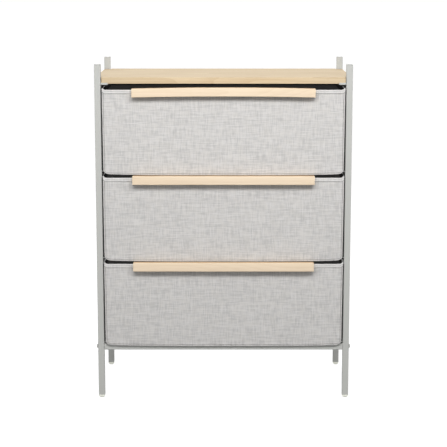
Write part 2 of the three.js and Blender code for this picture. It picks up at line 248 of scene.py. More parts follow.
floor_mesh = bpy.data.meshes.new("floor")
floor_corners = [(x * floor_half, y * floor_half, 0) for x, y in square_corners]
floor_mesh.from_pydata(floor_corners, [], [(0, 1, 2, 3)])
floor = bpy.data.objects.new("floor", floor_mesh)
bpy.context.scene.collection.objects.link(floor)
floor.visible_diffuse = False
floor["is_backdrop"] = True

sweep, recipe = new_finish("floor_sweep")
cloud = recipe.clouds(recipe.place(), floor_cloud_scales)
recipe.surface({
    "Base Color": recipe.mix(cloud, floor_deep, floor_pale),
    "Roughness": 0.9,
    "Specular IOR Level": 0,
    "Emission Color": (1, 1, 1),
    "Emission Strength": floor_glow,
})
floor_mesh.materials.append(sweep)
print("floor", 2 * floor_half, "m square")

# %% The sky
sky_strength = 0.95
grey_stops = [(0, 0.18), (0.45, 0.2), (0.485, 0.76), (0.5, 1.0), (0.57, 0.96), (0.67, 0.33), (1, 0.25)]

sky = bpy.data.worlds.new("sky")
bpy.context.scene.world = sky
recipe = Recipe(sky)
height = recipe.place("Generated")[2]
sky_color = recipe.node("ShaderNodeValToRGB", {"stops": grey_stops}, {"Fac": height * 0.5 + 0.5})
glow = recipe.node("ShaderNodeBackground", None, {"Color": sky_color, "Strength": sky_strength})
recipe.node("ShaderNodeOutputWorld", None, {"Surface": glow})
print("sky with", len(grey_stops), "shades from the ground up")


# %% The lamps
def soft_box(name, place, aim, width, height, power):
    """A rectangular lamp that faces a point."""
    lamp = bpy.data.lights.new(name, "AREA")
    lamp.shape = "RECTANGLE"
    lamp.size = width
    lamp.size_y = height
    lamp.energy = power
    box = bpy.data.objects.new(name, lamp)
    box.location = place
    box.rotation_euler = (Vector(aim) - Vector(place)).to_track_quat("-Z", "Y").to_euler()
    bpy.context.scene.collection.objects.link(box)


soft_box("front_box", (0.1, -2.0, 1.9), (0, -0.14, 0.9), width=2.4, height=0.6, power=58.5)
soft_box("back_box", (-0.15, 1.9, 2.5), (0, 0.1, 0.45), width=2, height=1.5, power=42)
for side in (-1, 1):
    soft_box("side_box", (side * 2.4, 0.45, 1.0), (0, 0.1, 0.4), width=1.2, height=1.2, power=11)
bpy.context.scene.view_settings.view_transform = "Standard"

# %% [markdown]
# ## Powder coat
# The tubes are sprayed with dry powder that melts into a tough skin with a faint orange-peel
# texture. Two sizes of noise make it: a fine one for the peel, which is relief and a little
# roughness, and a broad one for the slight drift of tone along a tube.

# %% Powder coat on the steel
drift_scale = 9


def coated(name, pale, deep, roughness, peel, depth):
    """A sprayed or moulded skin: two close tones, and a fine texture of that size and depth."""
    material, recipe = new_finish(name)
    place = recipe.place()
    grain = recipe.clouds(place, 1 / peel, detail=3)
    drift = recipe.clouds(place, drift_scale, detail=3)
    recipe.surface({
        "Base Color": recipe.mix(drift * 0.8 + grain * 0.2, deep, pale),
        "Roughness": roughness + (grain - 0.5) * 0.16 + (drift - 0.5) * 0.08,
    }, grain, depth)
    return material


finishes = {}
steel_pale = (0.49, 0.495, 0.472)
steel_deep = (0.45, 0.455, 0.432)
finishes["powder_coated_steel"] = coated(
    "powder_coat", steel_pale, steel_deep, roughness=0.46, peel=0.9 * mm, depth=0.03 * mm
)
print("finish:", finishes["powder_coated_steel"].name)

# %% [markdown]
# ## Plastics
# The caps in the post tops are moulded in the colour of the steel, with a duller, finer texture.
# The glides are of a smoother white plastic that lets light through, so no side of them is ever
# dark. Light scattered inside could be traced, but a faint glow of the same colour looks alike on
# so small a piece and costs nothing.

# %% The caps
cap_pale = (0.55, 0.555, 0.535)
cap_deep = (0.52, 0.525, 0.505)
finishes["cap_plastic"] = coated(
    "cap_plastic", cap_pale, cap_deep, roughness=0.6, peel=0.5 * mm, depth=0.02 * mm
)
print("finish:", finishes["cap_plastic"].name)


# %% The glides
milk_glow = 0.32
milk_cloud = 2 * mm


def milky(name, pale, deep):
    """White plastic that glows a little with the light scattered in it."""
    material, recipe = new_finish(name)
    cloud = recipe.clouds(recipe.place(), 1 / milk_cloud)
    color = recipe.mix(cloud, deep, pale)
    recipe.surface({
        "Base Color": color,
        "Roughness": 0.3 + cloud * 0.16,
        "Emission Color": color,
        "Emission Strength": milk_glow,
    }, cloud, depth=0.01 * mm)
    return material


finishes["glide_plastic"] = milky("glide_plastic", (0.76, 0.77, 0.69), (0.7, 0.71, 0.63))
print("finish:", finishes["glide_plastic"].name)

# %% [markdown]
# ## Bolt steel
# The bolts and screws are plated and left dull. Real plating is metal with fine scratches in no
# one direction, so noise drives the roughness, and a faint relief breaks up the highlights.

# %% Plated steel
scratch_size = 0.3 * mm
tarnish_size = 6 * mm


def plated(name, pale, deep):
    material, recipe = new_finish(name)
    place = recipe.place()
    grain = recipe.clouds(place, 1 / scratch_size, detail=4)
    tarnish = recipe.clouds(place, 1 / tarnish_size)
    recipe.surface({
        "Base Color": recipe.mix(tarnish, deep, pale),
        "Metallic": 0.9,
        "Roughness": 0.34 + grain * 0.14,
    }, grain, depth=0.01 * mm)
    return material


finishes["bolt_steel"] = plated("bolt_steel", (0.4, 0.4, 0.38), (0.3, 0.3, 0.285))
print("finish:", finishes["bolt_steel"].name)

# %% [markdown]
# ## Wood grain
# Wood is a stack of year rings, and a board cut along the tree shows them as long, wandering
# lines. A cloud stretched along the board and read as a height gives such lines: each time the
# height passes a whole number, a ring begins. Fine streaks and short dark pores lie on top. The
# board, the handles and the strip of painted shade on top of the handles are the same recipe
# with their own colours and contrasts.

# %% A recipe for wood
hill_scales = (0.9, 6, 7)
rings_to_a_hill = 26
streak_scales = (5, 210, 230)
tone_scales = (7, 40, 40)
pore_scales = (60, 900, 900)
pore_start, pore_full = 0.62, 0.72
mean_ring = 0.33
mean_tone = 0.45


def wood(name, pale, deep, rings, streaks, pores):
    """Wood whose grain runs along X, with a contrast for each of its three kinds of mark."""
    material, recipe = new_finish(name)
    place = recipe.place()
    ring = recipe.clouds(place, hill_scales) * rings_to_a_hill % 1
    streak = recipe.clouds(place, streak_scales, detail=5, roughness=0.62)
    tone = recipe.clouds(place, tone_scales)
    hole = recipe.clouds(place, pore_scales, detail=1)
    pore_range = {"Value": hole, "From Min": pore_start, "From Max": pore_full}
    pore = recipe.node("ShaderNodeMapRange", None, pore_range)
    dark = (ring * ring - mean_ring) * rings + (streak - 0.5) * streaks
    dark = dark + (tone - 0.5) * 0.5 + mean_tone + pore * pores
    clamped = recipe.node("ShaderNodeClamp", None, {"Value": dark})
    recipe.surface({
        "Base Color": recipe.mix(clamped, pale, deep),
        "Roughness": 0.6 + dark * 0.08,
        "Specular IOR Level": 0.15,
    }, 1 - dark, depth=0.04 * mm)
    return material


board_marks = {"rings": 0.3, "streaks": 1.0, "pores": 0.3}
handle_marks = {"rings": 0.22, "streaks": 0.8, "pores": 0.18}
woods = {
    "board_wood": ((0.652, 0.537, 0.366), (0.505, 0.38, 0.235), board_marks),
    "handle_wood": ((0.84, 0.7, 0.53), (0.71, 0.56, 0.4), handle_marks),
    # Painted shade for the rear of the handle tops, under the drawer front above.
    "heartwood": ((0.74, 0.51, 0.3), (0.62, 0.41, 0.23), handle_marks),
}
for name, (pale, deep, marks) in woods.items():
    finishes[name] = wood(name, pale, deep, **marks)
print("woods:", [finishes[name].name for name in woods])

# %% [markdown]
# ## Linen
# The drawers wear a plain weave: threads up and threads across, each over one and under the next,
# like a chessboard. The threads are spun unevenly, and their thick places, the slubs, are what
# shows from a distance as short strokes up and across. The cloth is laid from the side it faces,
# so that the threads run straight on the front, on the sides and on the floor.

# %% Coordinates that lie on the cloth
thread_pitch = 0.8 * mm
turned_share = 0.7
crown_share, base_share = 0.6, 0.4


def cloth_place(recipe):
    """Two wires in metres, across and up the cloth, whichever way it faces."""
    x, y, z = recipe.place()
    face_x, _, face_z = recipe.place("Normal")
    sideways = abs(face_x) > turned_share
    level = abs(face_z) > turned_share
    return x + sideways * (y - x), z + level * (y - z)


def plain_weave(across, up):
    """Height of a plain weave, from 0 in the holes to 1 on the crowns of the threads."""
    warp = across / thread_pitch
    weft = up / thread_pitch
    warp_side = warp % 1 * 2 - 1
    weft_side = weft % 1 * 2 - 1
    warp_round = 1 - warp_side * warp_side
    weft_round = 1 - weft_side * weft_side
    warp_above = (warp - warp % 1 + weft - weft % 1) % 2 > 0.5
    warp_height = warp_round * (weft_round * crown_share + base_share)
    weft_height = weft_round * (warp_round * crown_share + base_share)
    return weft_height + warp_above * (warp_height - weft_height)


# %% A recipe for linen
slub_width = 2.6 * mm
slub_length = 30 * mm
slub_contrast = 2.4
weave_contrast = 0.5
mean_weave = 0.45
sand_patch = 12 * mm
sand_tint = (1.0, 0.985, 0.945)
sand_start, sand_full, sand_most = 0.42, 0.62, 0.3
upright_layer, level_layer, sand_layer = 3.1, 7.7, 1.3
upright_scales = (1 / slub_width, 1 / slub_length, 1)
level_scales = (1 / slub_length, 1 / slub_width, 1)
sand_scales = (1 / sand_patch, 1 / sand_patch, 1)


def linen(name, pale, deep):
    material, recipe = new_finish(name)
    across, up = cloth_place(recipe)
    weave = plain_weave(across, up)
    upright = recipe.clouds((across, up, upright_layer), upright_scales, roughness=0.6)
    level = recipe.clouds((across, up, level_layer), level_scales, roughness=0.6)
    broad = recipe.clouds((across, up, sand_layer), sand_scales)
    tone = (upright - 0.5) * slub_contrast + (level - 0.5) * slub_contrast
    tone = tone + (weave - mean_weave) * weave_contrast + 0.5
    clamped = recipe.node("ShaderNodeClamp", None, {"Value": tone})
    grey = recipe.mix(clamped, deep, pale)
    sand_range = {"Value": broad, "From Min": sand_start, "From Max": sand_full, "To Max": sand_most}
    warm = recipe.node("ShaderNodeMapRange", None, sand_range)
    sand = tuple(part * tint for part, tint in zip(pale, sand_tint))
    recipe.surface({
        "Base Color": recipe.mix(warm, grey, sand),
        "Roughness": 0.88 - weave * 0.06,
        "Sheen Weight": 0.12,
        "Sheen Roughness": 0.5,
        "Specular IOR Level": 0.25,
    }, weave * 0.6 + upright * 0.5 + level * 0.5, depth=0.16 * mm, strength=0.7)
    return material


finishes["linen"] = linen("linen", (0.625, 0.612, 0.6), (0.46, 0.452, 0.444))
# Painted light: a paler copy of the linen for the hem and the rolled edges.
finishes["hem"] = linen("linen_lit_hem", (0.66, 0.65, 0.64), (0.56, 0.55, 0.542))
# Painted shade: a dark linen for thin bands along the seams and the rim fold.
finishes["seam_shade"] = linen("linen_seam_shade", (0.34, 0.33, 0.325), (0.24, 0.235, 0.23))
print("cloth:", [finishes[key].name for key in ("linen", "hem", "seam_shade")])

# %% [markdown]
# ## Felt, base board and thread
# Behind the fronts, the drawers are made of a dark felt of pressed fibres, which is dimpled where
# the press has welded it. The loose base boards are grey fibre board. The linen is sewn with a
# pale twisted thread and the felt with a dark one.

# %% Felt
dimple_pitch = 1.8 * mm
dimple_share = 0.3
# Painted light: felt and tape glow faintly, so the shaded gaps are not black.
felt_painted_glow = 0.22
felt_layer = 0.5
fibre_scales = (1600, 1600, 1)
felt_cloud_scales = (60, 60, 1)


def felt(name, pale, deep):
    """Pressed fibre with a faint glow in its own colour, which is painted light."""
    material, recipe = new_finish(name)
    across, up = cloth_place(recipe)
    column = across / dimple_pitch % 1 * 2 - 1
    row = up / dimple_pitch % 1 * 2 - 1
    dimple = column * column + row * row < dimple_share
    fibre = recipe.clouds((across, up, felt_layer), fibre_scales, detail=5, roughness=0.7)
    cloud = recipe.clouds((across, up, felt_layer), felt_cloud_scales, detail=3)
    color = recipe.mix(fibre * 0.6 + cloud * 0.4 - dimple * 0.1, deep, pale)
    recipe.surface({
        "Base Color": color,
        "Roughness": 0.95 - dimple * 0.15,
        "Specular IOR Level": 0.2,
        "Emission Color": color,
        "Emission Strength": felt_painted_glow,
    }, fibre * 0.5 - dimple * 0.6, depth=0.15 * mm, strength=0.6)
    return material


finishes["drawer_felt"] = felt("drawer_felt", (0.125, 0.123, 0.12), (0.052, 0.051, 0.05))
finishes["tape"] = felt("rim_tape", (0.042, 0.041, 0.04), (0.014, 0.014, 0.014))
print("felts:", [finishes[name].name for name in ("drawer_felt", "tape")])


# %% Fibre board and thread
speck_scale = 700
board_cloud_scale = 40
thread_lay = 0.35 * mm


def fibre_board(name, pale, deep):
    material, recipe = new_finish(name)
    place = recipe.place()
    speck = recipe.clouds(place, speck_scale, detail=4, roughness=0.7)
    cloud = recipe.clouds(place, board_cloud_scale, detail=3)
    recipe.surface({
        "Base Color": recipe.mix(speck * 0.5 + cloud * 0.5, deep, pale),
        "Roughness": 0.8 + (speck - 0.5) * 0.2,
    }, speck, depth=0.05 * mm)
    return material


def twisted_thread(name, pale, deep):
    material, recipe = new_finish(name)
    x, y, z = recipe.place()
    twist = (x + y + z) / thread_lay % 1
    ply = twist * (1 - twist) * 4
    recipe.surface({
        "Base Color": recipe.mix(ply, deep, pale),
        "Roughness": 0.75,
    }, ply, depth=0.05 * mm)
    return material


board_pale, board_deep = (0.17, 0.165, 0.157), (0.1, 0.097, 0.092)
finishes["base_board_card"] = fibre_board("fibre_board", board_pale, board_deep)
finishes["linen_thread"] = twisted_thread("linen_thread", (0.52, 0.51, 0.5), (0.36, 0.35, 0.34))
finishes["felt_thread"] = twisted_thread("felt_thread", (0.2, 0.2, 0.2), (0.1, 0.1, 0.1))
print("finishes so far:", sorted(finishes))

# %% [markdown]
# ## The solids that stay
# A solid from CAD has a separate corner for every face, so light breaks at each facet. Three
# modifiers make it read as a made thing and leave the solid alone: Weld joins the corners, Bevel
# gives each edge the small radius that catches light, and Weighted Normal keeps the broad faces
# flat while it turns the light round the bends.

# %% Dress the solids
edge_radius = 0.35 * mm
edge_angle = math.radians(50)
same_corner = 0.001 * mm


def dress(node):
    """Smooth light and a fine edge on a solid."""
    shape = node.data
    shape.shade_smooth()
    weld = node.modifiers.new("weld", "WELD")
    weld.merge_threshold = same_corner
    bevel = node.modifiers.new("edge", "BEVEL")
    bevel.width = edge_radius
    bevel.segments = 2
    bevel.limit_method = "ANGLE"
    bevel.angle_limit = edge_angle
    node.modifiers.new("light", "WEIGHTED_NORMAL")


slot_of = {part["node"]: part["material_slot"] for part in frame["record"]["subparts"]}
for name, node in frame["nodes"].items():
    dress(node)
    for place in node.material_slots:
        place.material = finishes[slot_of[name]]
print("dressed", len(frame["nodes"]), "solids")

# %% [markdown]
# ## Meshes from rings
# Nearly every soft or rounded piece here is a skin over rings: a handle is a row of slices, a
# stitch is a row of small circles, and a drawer wall is its own outline carried round the box. So
# one small class gathers rings into a mesh, and one function sets the finished piece in the scene.

# %% Gather rings, and set a piece in its place
class Skin:
    """Corners and faces for one piece. Each face knows which of the piece's finishes it takes."""

    def __init__(self):
        self.corners = []
        self.faces = []
        self.kinds = []

    def loft(self, rings, closed=True, ends=True, kind=0):
        """A skin over rings with the same number of points. kind may be a rule of ring and side."""
        rule = kind if callable(kind) else lambda step, side: kind
        start = len(self.corners)
        count = len(rings[0])
        for ring in rings:
            self.corners.extend(tuple(point) for point in ring)
        for step in range(len(rings) - 1):
            for side in range(count if closed else count - 1):
                after = (side + 1) % count
                low = start + step * count
                high = low + count
                self.faces.append((low + side, low + after, high + after, high + side))
                self.kinds.append(rule(step, side))
        if ends:
            for first in (start, len(self.corners) - count):
                self.faces.append(tuple(range(first, first + count)))
                self.kinds.append(rule(0, 0))


merge_distance = 0.002 * mm


def set_piece(name, skin, finish_names, body, stands_for=(), sharp=50):
    """Makes the mesh, gives it its finishes, and lets it ride on its body."""
    shape = bpy.data.meshes.new(name)
    shape.from_pydata(skin.corners, [], skin.faces)
    shape.polygons.foreach_set("material_index", skin.kinds)
    tidy = bmesh.new()
    tidy.from_mesh(shape)
    bmesh.ops.remove_doubles(tidy, verts=tidy.verts, dist=merge_distance)
    bmesh.ops.dissolve_degenerate(tidy, edges=tidy.edges, dist=same_corner)
    bmesh.ops.recalc_face_normals(tidy, faces=tidy.faces)
    tidy.to_mesh(shape)
    tidy.free()
    shape.shade_smooth()
    shape.set_sharp_from_angle(angle=math.radians(sharp))
    for finish_name in finish_names:
        shape.materials.append(finishes[finish_name])
    piece = bpy.data.objects.new(name, shape)
    bpy.context.scene.collection.objects.link(piece)
    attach(piece, body)
    if stands_for:
        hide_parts(*stands_for)
    return piece


# %% [markdown]
# ## Handles
# Each handle is a bar of pale wood with every long edge rounded over, and a groove along the back
# of its lower edge for the fingertips. A slice with the groove and a slice without it can have
# the same number of points, if the groove's corners lie flat where there is no groove. The bar is
# then a row of slices: whole at its ends, and cut away between them. A strip of darker, warmer
# wood along the rear of its upper face is painted shade, where the drawer front above keeps light
# off the top of the bar; it gives the thin orange line above the lower two handles. The top
# handle bows, with its ends a little lower than its middle.

# %% A slice through a handle
handle_round = 1.3 * mm
groove_depth = 10 * mm
groove_height = 9 * mm
groove_margin = 25 * mm
# Depth of the painted shade strip at the rear of the bar's top.
painted_shade_width = 12 * mm
handle_bow = {"top": 2.4 * mm}
bow_steps = 10
round_steps = 4
least_round = 0.2 * mm
flat_angle = math.radians(89)


def rounded_corner(before, corner, after, radius):
    """Points on an arc that takes a corner off, or the corner itself where nothing turns."""
    start = (before - corner).normalized()
    end = (after - corner).normalized()
    half_angle = math.acos(max(-1, min(1, start.dot(end)))) / 2
    if half_angle > flat_angle:
        return [corner] * (round_steps + 1)
    reach = radius / math.tan(half_angle)
    centre = corner + (start + end).normalized() * (radius / math.sin(half_angle))
    first = corner + start * reach - centre
    last = corner + end * reach - centre
    spokes = [first.lerp(last, step / round_steps) for step in range(round_steps + 1)]
    return [centre + spoke.normalized() * radius for spoke in spokes]


def rounded_ring(corners, radius):
    ring = []
    for number, corner in enumerate(corners):
        before = corners[number - 1]
        after = corners[(number + 1) % len(corners)]
        ring.extend(rounded_corner(before, corner, after, radius))
    return ring


def handle_slice(low, high, bow, x, inset, grooved):
    """The bar's outline in the plane at x, drawn in by inset, with or without the groove."""
    drop = bow * (x / low.x) ** 2
    front, back = low.y + inset, high.y - inset
    bottom, top = low.z + inset, high.z - inset
    inner = (high.y - groove_depth, low.z + groove_height) if grooved else (back, bottom)
    flat = [(front, top), (front, bottom), (high.y - groove_depth, bottom), inner]
    flat += [(back, low.z + groove_height), (back, top), (high.y - painted_shade_width, top)]
    ring = rounded_ring([Vector((y, z)) for y, z in flat], max(handle_round - inset, least_round))
    return [(x, point.x, point.y - drop) for point in ring]


# %% Make the handles
painted_shade_corner = 5
groove_end = 0.4 * mm
# The second finish is the painted shade along the rear of the top.
bar_finishes = ["handle_wood", "heartwood"]
pale_kind, painted_shade_kind = range(2)


def bar_kind(step, side):
    """Painted shade from the arc of the rear upper corner to the edge of the strip."""
    return painted_shade_kind if side // (round_steps + 1) == painted_shade_corner else pale_kind


def make_handle(level):
    low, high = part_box(f"{level}_handle")
    slices = []
    for step in range(round_steps + 1):
        turn = math.pi / 2 * step / round_steps
        inset = handle_round * (1 - math.sin(turn))
        slices.append((low.x + handle_round * (1 - math.cos(turn)), inset, False))
    slices.append((low.x + groove_margin, 0, False))
    start = low.x + groove_margin + groove_end
    slices += [(start * (1 - step / bow_steps), 0, True) for step in range(bow_steps)]
    slices += [(-x, inset, grooved) for x, inset, grooved in reversed(slices)]
    skin = Skin()
    bow = handle_bow.get(level, 0)
    skin.loft([handle_slice(low, high, bow, *values) for values in slices], kind=bar_kind)
    piece = set_piece(
        f"{level}_handle_bar", skin, bar_finishes, f"{level}_drawer", [f"{level}_handle"]
    )
    return piece


levels = ["bottom", "middle", "top"]
handles = [make_handle(level) for level in levels]
print("handles:", [(bar.name, len(bar.data.polygons)) for bar in handles])

# %% [markdown]
# ## Drawer fronts
# Each front is a stiff board in a cloth cover. It draws in slightly towards the floor, its lower
# corners are rounded, its lower edge sags, and the folded hem stands up a little at both ends of
# the rim. The hem is sewn down by a line of stitches, and a bound edge runs down both sides and
# along the foot. A fine grid carries all this best: its lines crowd where a seam or a rounded edge
# needs them, and each point is moved back or forth by a few plain rules.

# %% Outline of a front
front_taper = 1.5 * mm
foot_corner_width = 18 * mm
foot_corner_height = 12 * mm
foot_sag = 2 * mm
foot_hang = 0.5 * mm
foot_squareness = 4
ear_rise = 3.5 * mm
ear_width = 8 * mm
ear_tip = 2.4 * mm


def foot_rise(gap):
    """Height of the outline above the foot, at a distance in from the side."""
    if gap >= foot_corner_width:
        return 0
    return foot_corner_height * (1 - math.sqrt(max(gap, 0) / foot_corner_width)) ** 2


def ear_height(gap):
    """Height of the hem above the rim, at a distance in from the side."""
    if gap >= ear_width:
        return 0
    if gap <= ear_tip:
        return ear_rise
    share = (ear_width - gap) / (ear_width - ear_tip)
    return ear_rise * share * share


def foot_line(x, half_width):
    """Height of the lower edge at x. It hangs lowest in the middle."""
    span = half_width - foot_corner_width
    if abs(x) < span:
        return -foot_sag * (1 - (x / span) ** foot_squareness)
    return foot_rise(half_width - abs(x))


# %% Grid lines that crowd at the seams
edge_steps = [0, 0.2, 0.6, 1.1, 1.7, 2.4, 2.9, 3.2, 3.5, 3.8, 4.1, 4.8, 5.8, 7.2, 9, 11, 13.5, 16, 19]
hem_steps = [0, 0.2, 0.6, 1.1, 1.7, 2.6, 3.4, 3.8, 4.0, 4.2, 4.6, 6, 7.6, 8.3]
hem_steps += [8.7, 9.0, 9.3, 9.7, 10.6, 12, 14, 17, 20]
field_step = 5


def grid_lines(length, first_steps, last_steps):
    """Distances along a length, all in mm: close at both ends, even between them."""
    start = first_steps[-1]
    end = length - last_steps[-1]
    count = round((end - start) / field_step)
    field = [start + (end - start) * step / count for step in range(1, count)]
    return first_steps + field + [length - step for step in reversed(last_steps)]


print("close lines:", len(edge_steps), "at an edge,", len(hem_steps), "at the hem")

# %% Relief of the cloth
hem_depth = 9 * mm
rim_fold = 4 * mm
binding_width = 3.5 * mm
edge_round = 2.2 * mm
hem_lift = 0.5 * mm
hem_slope = (hem_depth - 0.3 * mm, hem_depth + 0.5 * mm)
seam_depth = 0.9 * mm
seam_width = 0.6 * mm
shallow_seam_depth = 0.3 * mm
side_seam_start = 3 * mm
corner_fade = 8 * mm
foot_lead = 0.8 * mm
swell_height = 0.35 * mm
swell_mean = 0.6
swell_edge = 30 * mm
swell_rim = 40 * mm
# Waves to the metre across and up, layer of the noise, and weight.
swells = [(9, 13, 4, 1), (24, 30, 9, 0.5)]


def near(first, second):
    """A distance to two edges at once, which rounds the corner between them."""
    total = math.hypot(first, second)
    return first * second / total if total > 0 else 0


def valley(distance, depth):
    """The valley that a line of stitches pulls into the cloth."""
    return depth * math.exp(-((distance / seam_width) ** 2))


def smooth_step(value, start, end):
    share = max(0, min(1, (value - start) / (end - start)))
    return share * share * (3 - 2 * share)


def front_relief(x, z, side_gap, foot_gap, rim_gap):
    """How far the cloth lies behind the foremost plane."""
    edge = near(near(side_gap, foot_gap + foot_lead), rim_gap)
    back = edge_round - math.sqrt(max(0, edge_round ** 2 - max(0, edge_round - edge) ** 2))
    back += hem_lift * smooth_step(rim_gap, *hem_slope)
    back += valley(rim_gap - hem_depth, seam_depth)
    back += valley(rim_gap - rim_fold, shallow_seam_depth)
    below_hem = smooth_step(rim_gap, hem_depth, hem_depth + side_seam_start)
    side_share = below_hem * smooth_step(foot_gap, 0, corner_fade)
    back += valley(side_gap - binding_width, seam_depth) * side_share
    foot_share = smooth_step(side_gap, 0, corner_fade)
    back += valley(foot_gap - binding_width, shallow_seam_depth) * foot_share
    inside = near(side_gap, foot_gap)
    field = smooth_step(inside, binding_width, swell_edge) * smooth_step(rim_gap, hem_depth, swell_rim)
    swell = 0
    for across, up, layer, weight in swells:
        swell += weight * noise.noise(Vector((x * across, z * up, layer)))
    return back + field * swell_height * (swell - swell_mean)


# %% Make the cloth front
def front_grid(level):
    """Rows of points from the foot to the rim, each with its gaps to the side, foot and rim."""
    low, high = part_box(f"{level}_drawer_front")
    rim = high.z - ear_rise
    foot = low.z + foot_sag - foot_hang
    foot_half = high.x - front_taper
    columns = grid_lines(2 * high.x / mm, edge_steps, edge_steps)
    rows = []
    for up in grid_lines((rim - foot) / mm, edge_steps, hem_steps):
        share = up * mm / (rim - foot)
        row = []
        for column in columns:
            across = column * mm / high.x - 1
            start = Vector((across * foot_half, foot + foot_line(across * foot_half, foot_half)))
            end = Vector((across * high.x, rim + ear_height(high.x * (1 - abs(across)))))
            spot = start.lerp(end, share)
            half = foot_half + front_taper * share
            gap = half - abs(spot.x)
            rise = spot.y - foot
            if rise < foot_corner_height:
                turn = 1 - math.sqrt(max(rise, 0) / foot_corner_height)
                gap = max(0, gap - foot_corner_width * turn * turn)
            row.append((spot.x, spot.y, gap, spot.y - start.y, end.y - spot.y))
        rows.append(row)
    return rows, low.y, high.y


# Half widths of the painted shade bands at the seams and at the rim fold.
seam_shade_half = 0.55 * mm
rim_seam_shade_half = 0.25 * mm
back_round = 1.2 * mm
# The hem finish, a paler linen, is painted light; the darker third one is painted shade.
front_finishes = ["linen", "hem", "seam_shade", "drawer_felt"]
field_kind, lit_hem_kind, seam_shade_kind, felt_kind = range(4)


def middle_gaps(rows, step, side):
    """Gaps to the side, the foot and the rim from the middle of one face of the grid."""
    pairs = zip(rows[step][side][2:], rows[step + 1][side + 1][2:])
    return [(first + second) / 2 for first, second in pairs]


def cloth_kind(side_gap, foot_gap, rim_gap):
    """Which finish a place on a front wears: linen, painted light on the hem, painted shade at the
    seams.
    """
    if abs(rim_gap - hem_depth) < seam_shade_half or abs(rim_gap - rim_fold) < rim_seam_shade_half:
        return seam_shade_kind
    if rim_gap < hem_depth:
        return lit_hem_kind
    if abs(min(side_gap, foot_gap) - binding_width) < seam_shade_half:
        return seam_shade_kind
    return field_kind


def back_depth(side_gap, foot_gap, rim_gap):
    """How far the back lies in front of its plane, where it rounds over to the sides."""
    return max(0, back_round - near(near(side_gap, foot_gap), rim_gap))


def outer_ring(layer):
    """The outer points of a grid, once round."""
    left = [row[0] for row in layer[1:-1]]
    right = [row[-1] for row in layer[1:-1]]
    return layer[0] + right + layer[-1][::-1] + left[::-1]


def make_front(level):
    rows, front, back = front_grid(level)
    faces = [[(x, front + front_relief(x, z, *gaps), z) for x, z, *gaps in row] for row in rows]
    backs = [[(x, back - back_depth(*gaps), z) for x, z, *gaps in row] for row in rows]

    def face_rule(step, side):
        return cloth_kind(*middle_gaps(rows, step, side))

    # Near the rim the back wears the paler linen too, which is painted light.
    def back_rule(step, side):
        return lit_hem_kind if middle_gaps(rows, step, side)[2] < 2 * hem_depth else felt_kind

    skin = Skin()
    skin.loft(faces, closed=False, ends=False, kind=face_rule)
    skin.loft(backs, closed=False, ends=False, kind=back_rule)
    # The rolled edges wear the paler linen: painted light.
    skin.loft([outer_ring(faces), outer_ring(backs)], ends=False, kind=lit_hem_kind)
    stands_for = [f"{level}_drawer_front"]
    piece = set_piece(
        f"{level}_cloth_front", skin, front_finishes, f"{level}_drawer", stands_for, sharp=80
    )
    return piece


fronts = [make_front(level) for level in levels]
print("fronts:", [(front.name, len(front.data.vertices)) for front in fronts])

# %% [markdown]
# ## Drawer boxes
# Behind its front, each drawer is a box of felt over thin boards: two sides and a back in one
# run, with black tape bound over the rim and over the two ends behind the front, and a floor. The
# wall has the same outline all the way round, so that outline is drawn once and carried along the
# run. Felt over board is never quite flat, so the walls sink in by about a millimetre between
# their edges, away from the posts beside them.

# %% The run of the walls
wall_corner = 3 * mm
wall_rim_hem = 12 * mm
side_steps = 26
back_steps = 44
corner_steps = 6


def wall_run(low, high):
    """Stations along the run: point, outward direction, and share of the panel passed."""
    run = []
    turn_y = high.y - wall_corner
    turn_x = high.x - wall_corner
    for step in range(side_steps + 1):
        share = step / side_steps
        run.append(((low.x, low.y + (turn_y - low.y) * share), (-1, 0), share))
    for step in range(1, corner_steps):
        turn = math.pi / 2 * step / corner_steps
        out = (-math.cos(turn), math.sin(turn))
        place = (-turn_x + wall_corner * out[0], turn_y + wall_corner * out[1])
        run.append((place, out, 0))
    for step in range(back_steps // 2 + 1):
        share = step / back_steps
        run.append(((-turn_x + 2 * turn_x * share, high.y), (0, 1), share))
    mirrored = [((-x, y), (-out_x, out_y), 1 - share) for (x, y), (out_x, out_y), share in run[:-1]]
    return run + mirrored[::-1]


floor_thickness = 2 * mm
floor_seam = 4.8 * mm
wall_kind, tape_kind = range(2)
# Points as (inset, height) in mm, with the height counted from the foot, the hem or the rim.
wall, tape, tape_start = 3, 0.35, 0.6
foot_outside = [(1.4, 0), (0.4, 0.4), (0, 1.4), (0, 5), (0.35, 5.6), (0, 6.2)]
hem_outside = [(0, -0.9), (0.35, -0.1)]
over_rim = [(-tape, -1.6), (0.1, -0.5), (1, -0.05), (2, -0.05), (2.9, -0.5), (wall + tape, -1.6)]
hem_inside = [(2.7, -0.1), (wall, -0.9)]
foot_inside = [(wall, 4), (3.5, 2.6), (floor_seam / mm, floor_thickness / mm), (floor_seam / mm, 0)]


def wall_outline(low, high):
    """The wall's own outline as (inset, height, finish): up outside, over the rim, down inside."""
    foot, rim = low.z, high.z
    hem = rim - wall_rim_hem
    span = (hem - foot) / mm
    up = [(0, span * share) for share in (0.15, 0.3, 0.45, 0.6, 0.75, 0.9)]
    down = [(wall, span * share) for share in (0.9, 0.7, 0.5, 0.3, 0.1)]
    runs = [(foot, foot_outside + up, wall_kind), (hem, hem_outside, wall_kind)]
    runs += [(hem, [(-tape, tape_start)], tape_kind), (rim, over_rim, tape_kind)]
    runs += [(hem, [(wall + tape, tape_start)], tape_kind), (hem, hem_inside, wall_kind)]
    runs.append((foot, down + foot_inside, wall_kind))
    return [(inset * mm, level + z * mm, kind) for level, points, kind in runs for inset, z in points]


# %% Make the boxes
wall_bow = -0.9 * mm
ripple_height = 0.25 * mm
ripple_scale = 14


